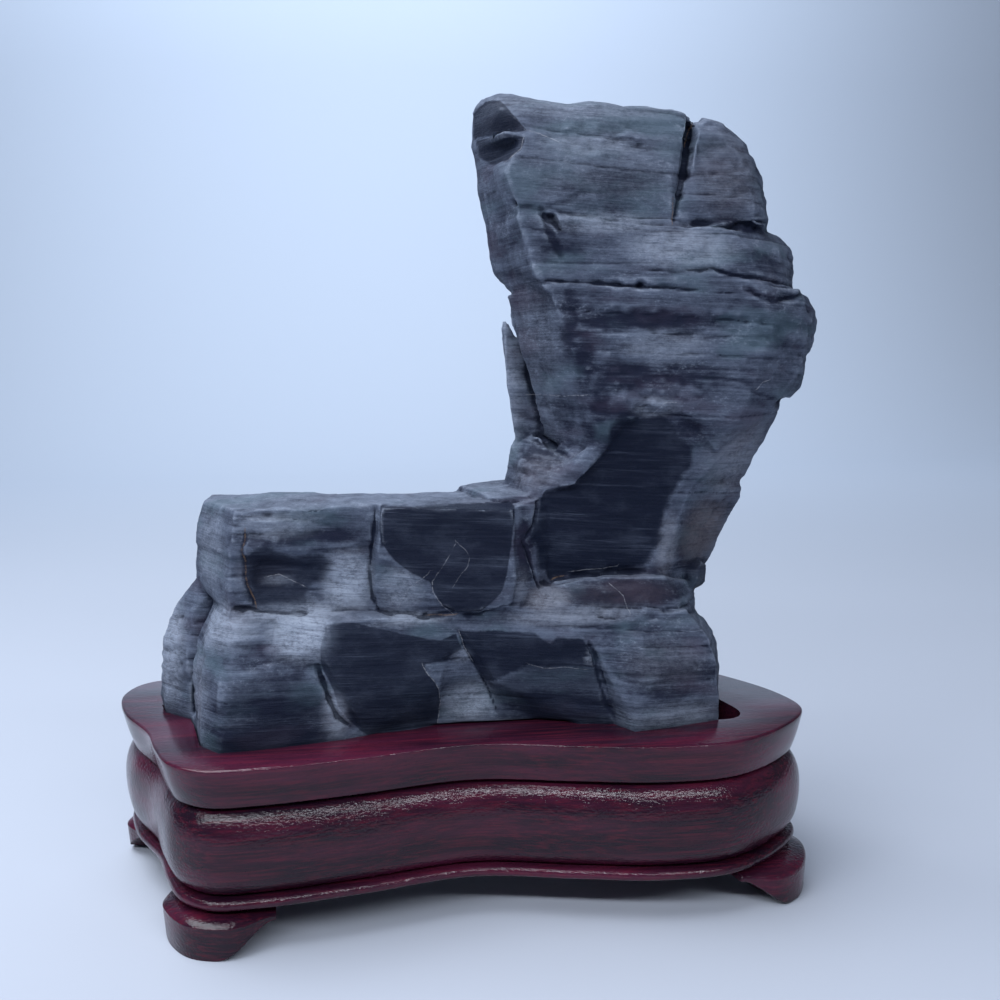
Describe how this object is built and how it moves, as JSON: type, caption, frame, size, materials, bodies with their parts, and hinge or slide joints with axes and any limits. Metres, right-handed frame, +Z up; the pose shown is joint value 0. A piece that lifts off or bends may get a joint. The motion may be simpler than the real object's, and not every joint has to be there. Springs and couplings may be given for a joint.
{
  "type": "scholars rock",
  "caption": "Dark bedded scholars rock with a stepped base and a leaning tower, set in the pocket of a lobed, carved and lacquered wooden stand on bracket feet.",
  "frame": {"origin": "on the table, at the middle of the bounding box seen from above", "axes": "+Z up, -Y towards the viewer of the rock's front, +X towards the side where the tower stands"},
  "size_m": [0.253, 0.1042, 0.2704],
  "materials": {
    "stone": "matt, worn smooth",
    "rosewood": "satin lacquer"
  },
  "bodies": {
    "root": {"rock": "stone", "stand": "rosewood", "foot_front_left": "rosewood", "foot_front_right": "rosewood", "foot_back_left": "rosewood", "foot_back_right": "rosewood"}
  },
  "joints": []
}
